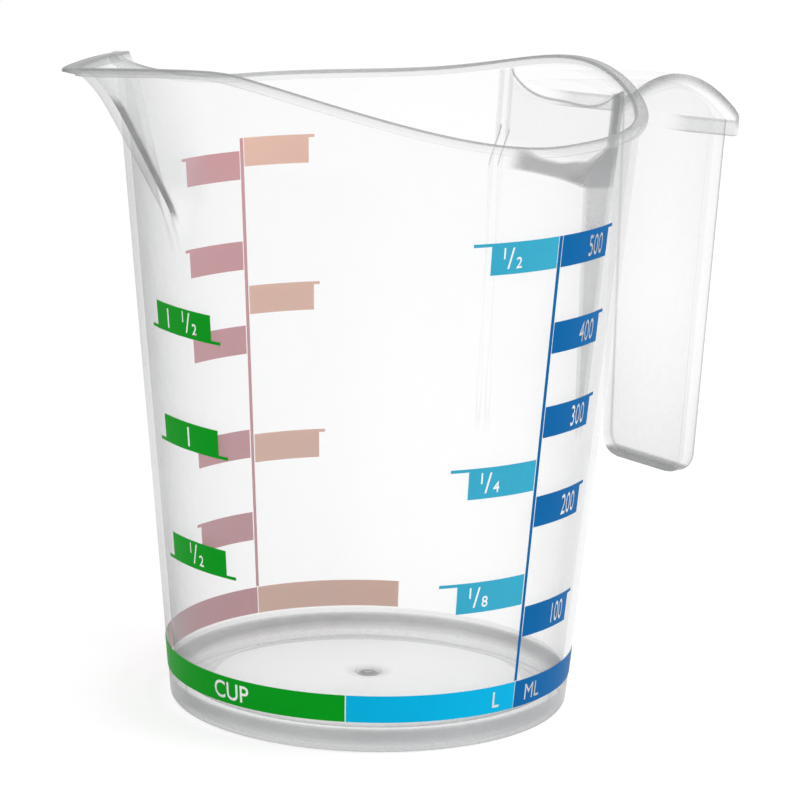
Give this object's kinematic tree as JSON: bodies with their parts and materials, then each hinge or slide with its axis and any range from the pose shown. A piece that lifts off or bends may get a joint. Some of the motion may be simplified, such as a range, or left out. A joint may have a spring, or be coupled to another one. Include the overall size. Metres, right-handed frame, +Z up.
{
  "type": "measuring cup",
  "caption": "Clear plastic half-litre measuring jug with a folded pouring spout, an open hook handle with a vaulted roof, and printed colour scales.",
  "frame": {"origin": "on the table, under the middle of the bounding box; the jug's own axis is 3 mm towards the spout from it", "axes": "+X towards the handle, -X towards the spout, +Z up out of the mouth"},
  "size_m": [0.148, 0.0992, 0.1263],
  "materials": {
    "clear_plastic": "clear, slightly milky, glossy",
    "ink_dark_blue": "printed ink, satin",
    "ink_light_blue": "printed ink, satin",
    "ink_sky_blue": "printed ink, satin",
    "ink_green": "printed ink, satin",
    "ink_rose": "printed ink, satin",
    "ink_orange": "printed ink, satin"
  },
  "bodies": {
    "root": {"jug_body": "clear_plastic", "ml_band": "ink_dark_blue", "ml_line": "ink_dark_blue", "litre_band": "ink_sky_blue", "cup_band": "ink_green", "rose_band": "ink_rose", "rose_line": "ink_rose", "orange_band": "ink_orange", "ml_mark_100": "ink_dark_blue", "ml_mark_200": "ink_dark_blue", "ml_mark_300": "ink_dark_blue", "ml_mark_400": "ink_dark_blue", "ml_mark_500": "ink_dark_blue", "litre_mark_eighth": "ink_light_blue", "litre_mark_quarter": "ink_light_blue", "litre_mark_half": "ink_light_blue", "cup_mark_half": "ink_green", "cup_mark_one": "ink_green", "cup_mark_one_and_a_half": "ink_green", "rose_mark_1": "ink_rose", "rose_mark_2": "ink_rose", "rose_mark_3": "ink_rose", "rose_mark_4": "ink_rose", "rose_mark_5": "ink_rose", "orange_mark_1": "ink_orange", "orange_mark_2": "ink_orange", "orange_mark_3": "ink_orange"}
  },
  "joints": []
}
